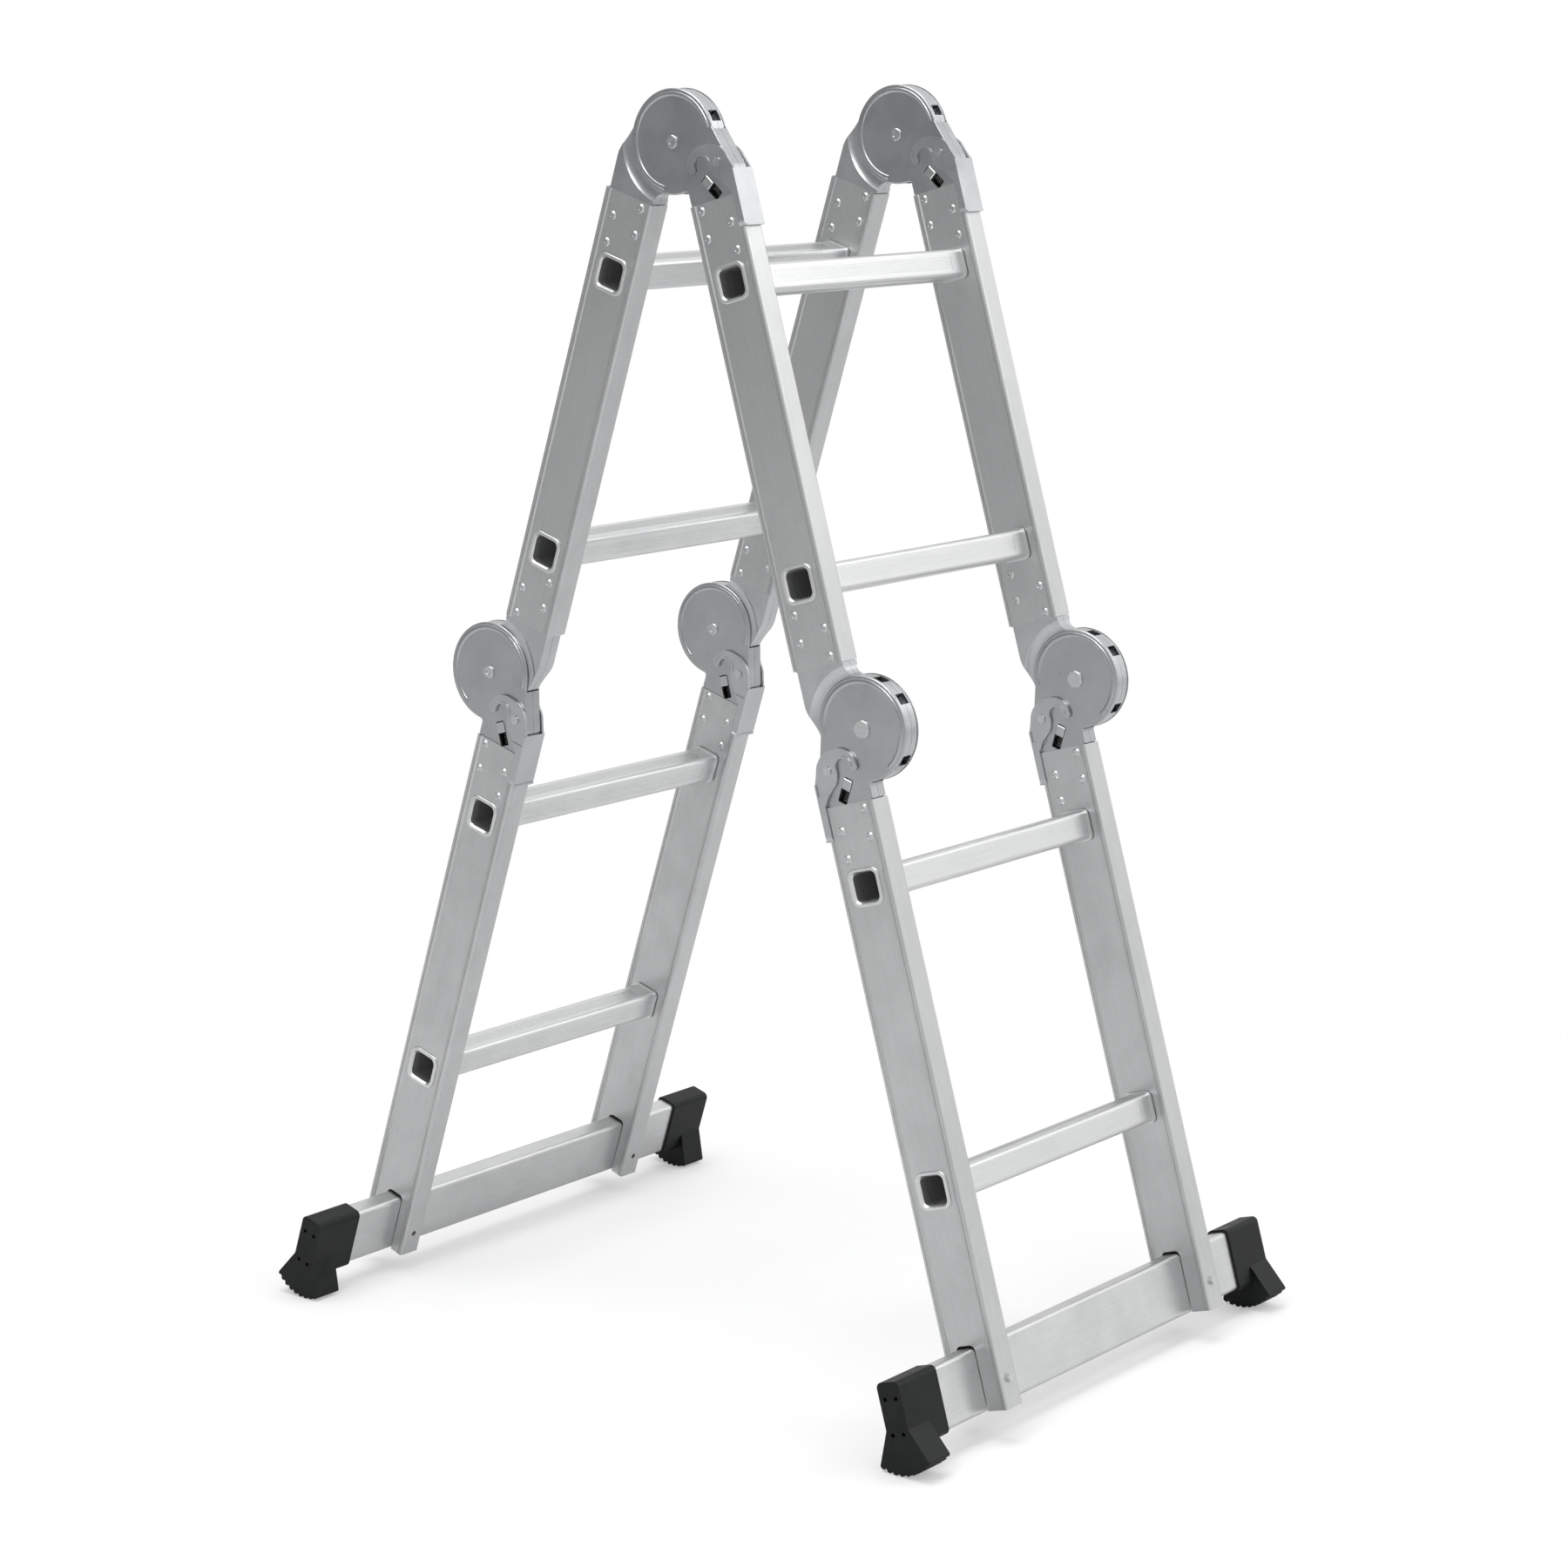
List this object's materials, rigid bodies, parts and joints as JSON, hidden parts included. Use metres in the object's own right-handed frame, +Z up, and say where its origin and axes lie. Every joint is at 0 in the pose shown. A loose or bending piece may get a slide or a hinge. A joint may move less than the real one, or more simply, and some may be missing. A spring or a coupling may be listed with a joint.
{
  "type": "folding ladder",
  "caption": "Aluminium multi-position ladder standing as an A-frame, with locking folding hinges, stabiliser bars and rubber boots.",
  "frame": {"origin": "centre of the footprint, on the floor, with the ladder standing open", "axes": "+Z up; X along the rungs; the front half leans towards -Y and the back half towards +Y"},
  "size_m": [0.6058, 0.8014, 1.1975],
  "materials": {
    "stile": "satin extruded aluminium",
    "rung": "satin extruded aluminium",
    "bar": "brushed aluminium",
    "hinge_cover": "zinc-plated pressed steel",
    "hinge_drum": "zinc-plated pressed steel",
    "lever": "zinc-plated pressed steel",
    "tongue": "plain machined steel",
    "spring": "spring steel",
    "fastener": "bright zinc-plated steel",
    "boot": "matt moulded rubber"
  },
  "bodies": {
    "front_upper": {"front_upper_left_stile": "stile", "front_upper_right_stile": "stile", "front_rung_1": "rung", "front_rung_2": "rung", "apex_left_hinge_covers": "hinge_cover", "apex_right_hinge_covers": "hinge_cover", "front_middle_left_hinge_drum": "hinge_drum", "front_middle_right_hinge_drum": "hinge_drum", "front_upper_rivets": "fastener", "apex_hinge_pins": "fastener", "apex_lock_springs": "spring"},
    "back_upper": {"back_upper_left_stile": "stile", "back_upper_right_stile": "stile", "back_rung_1": "rung", "back_rung_2": "rung", "apex_left_hinge_drum": "hinge_drum", "apex_right_hinge_drum": "hinge_drum", "back_middle_left_hinge_drum": "hinge_drum", "back_middle_right_hinge_drum": "hinge_drum", "back_upper_rivets": "fastener"},
    "front_lower": {"front_lower_left_stile": "stile", "front_lower_right_stile": "stile", "front_rung_3": "rung", "front_rung_4": "rung", "front_middle_left_hinge_covers": "hinge_cover", "front_middle_right_hinge_covers": "hinge_cover", "front_lower_rivets": "fastener", "front_middle_hinge_pins": "fastener", "front_middle_lock_springs": "spring", "front_stabiliser_bar": "bar", "front_bar_screws": "fastener", "front_left_boot": "boot", "front_right_boot": "boot"},
    "back_lower": {"back_lower_left_stile": "stile", "back_lower_right_stile": "stile", "back_rung_3": "rung", "back_rung_4": "rung", "back_middle_left_hinge_covers": "hinge_cover", "back_middle_right_hinge_covers": "hinge_cover", "back_lower_rivets": "fastener", "back_middle_hinge_pins": "fastener", "back_middle_lock_springs": "spring", "back_stabiliser_bar": "bar", "back_bar_screws": "fastener", "back_left_boot": "boot", "back_right_boot": "boot"},
    "apex_left_lever": {"apex_left_release_lever": "lever"},
    "apex_left_tongue": {"apex_left_lock_tongue": "tongue"},
    "apex_right_lever": {"apex_right_release_lever": "lever"},
    "apex_right_tongue": {"apex_right_lock_tongue": "tongue"},
    "front_middle_left_lever": {"front_middle_left_release_lever": "lever"},
    "front_middle_left_tongue": {"front_middle_left_lock_tongue": "tongue"},
    "front_middle_right_lever": {"front_middle_right_release_lever": "lever"},
    "front_middle_right_tongue": {"front_middle_right_lock_tongue": "tongue"},
    "back_middle_left_lever": {"back_middle_left_release_lever": "lever"},
    "back_middle_left_tongue": {"back_middle_left_lock_tongue": "tongue"},
    "back_middle_right_lever": {"back_middle_right_release_lever": "lever"},
    "back_middle_right_tongue": {"back_middle_right_lock_tongue": "tongue"}
  },
  "joints": [
    {"name": "apex_fold", "type": "hinge", "parent": "front_upper", "child": "back_upper", "pos_m": [0, 0, 1.14905], "axis": [-1, 0, 0], "range_deg": [-146.5, 33.5]},
    {"name": "front_middle_fold", "type": "hinge", "parent": "front_upper", "child": "front_lower", "pos_m": [0, -0.22536, 0.63206], "axis": [-1, 0, 0], "range_deg": [0, 180]},
    {"name": "back_middle_fold", "type": "hinge", "parent": "back_upper", "child": "back_lower", "pos_m": [0, 0.22536, 0.63206], "axis": [1, 0, 0], "range_deg": [0, 180]},
    {"name": "apex_left_release", "type": "hinge", "parent": "front_upper", "child": "apex_left_lever", "pos_m": [0, -0.05388, 1.1331], "axis": [1, 0, 0], "range_deg": [-18, 0], "stiffness_Nm_per_rad": 0.5, "springref_deg": 11.46, "deforming": ["apex_lock_springs"]},
    {"name": "apex_left_tongue_slide", "type": "slide", "parent": "front_upper", "child": "apex_left_tongue", "axis": [0, -0.7632, -0.6461], "range_m": [0, 0.007]},
    {"name": "apex_right_release", "type": "hinge", "parent": "front_upper", "child": "apex_right_lever", "pos_m": [0, -0.05388, 1.1331], "axis": [1, 0, 0], "range_deg": [-18, 0], "stiffness_Nm_per_rad": 0.5, "springref_deg": 11.46},
    {"name": "apex_right_tongue_slide", "type": "slide", "parent": "front_upper", "child": "apex_right_tongue", "axis": [0, -0.7632, -0.6461], "range_m": [0, 0.007]},
    {"name": "front_middle_left_release", "type": "hinge", "parent": "front_lower", "child": "front_middle_left_lever", "pos_m": [0, -0.18923, 0.58903], "axis": [-1, 0, 0], "range_deg": [-18, 0], "stiffness_Nm_per_rad": 0.5, "springref_deg": 11.46, "deforming": ["front_middle_lock_springs"]},
    {"name": "front_middle_left_tongue_slide", "type": "slide", "parent": "front_lower", "child": "front_middle_left_tongue", "axis": [0, 0.2798, -0.96], "range_m": [0, 0.007]},
    {"name": "front_middle_right_release", "type": "hinge", "parent": "front_lower", "child": "front_middle_right_lever", "pos_m": [0, -0.18923, 0.58903], "axis": [-1, 0, 0], "range_deg": [-18, 0], "stiffness_Nm_per_rad": 0.5, "springref_deg": 11.46},
    {"name": "front_middle_right_tongue_slide", "type": "slide", "parent": "front_lower", "child": "front_middle_right_tongue", "axis": [0, 0.2798, -0.96], "range_m": [0, 0.007]},
    {"name": "back_middle_left_release", "type": "hinge", "parent": "back_lower", "child": "back_middle_left_lever", "pos_m": [0, 0.18923, 0.58903], "axis": [1, 0, 0], "range_deg": [-18, 0], "stiffness_Nm_per_rad": 0.5, "springref_deg": 11.46, "deforming": ["back_middle_lock_springs"]},
    {"name": "back_middle_left_tongue_slide", "type": "slide", "parent": "back_lower", "child": "back_middle_left_tongue", "axis": [0, -0.2798, -0.96], "range_m": [0, 0.007]},
    {"name": "back_middle_right_release", "type": "hinge", "parent": "back_lower", "child": "back_middle_right_lever", "pos_m": [0, 0.18923, 0.58903], "axis": [1, 0, 0], "range_deg": [-18, 0], "stiffness_Nm_per_rad": 0.5, "springref_deg": 11.46},
    {"name": "back_middle_right_tongue_slide", "type": "slide", "parent": "back_lower", "child": "back_middle_right_tongue", "axis": [0, -0.2798, -0.96], "range_m": [0, 0.007]}
  ],
  "couplings": [
    {"joint": "apex_left_tongue_slide", "follows": "apex_left_release", "m_per_rad": -0.022},
    {"joint": "apex_right_tongue_slide", "follows": "apex_right_release", "m_per_rad": -0.022},
    {"joint": "front_middle_left_tongue_slide", "follows": "front_middle_left_release", "m_per_rad": -0.022},
    {"joint": "front_middle_right_tongue_slide", "follows": "front_middle_right_release", "m_per_rad": -0.022},
    {"joint": "back_middle_left_tongue_slide", "follows": "back_middle_left_release", "m_per_rad": -0.022},
    {"joint": "back_middle_right_tongue_slide", "follows": "back_middle_right_release", "m_per_rad": -0.022}
  ]
}
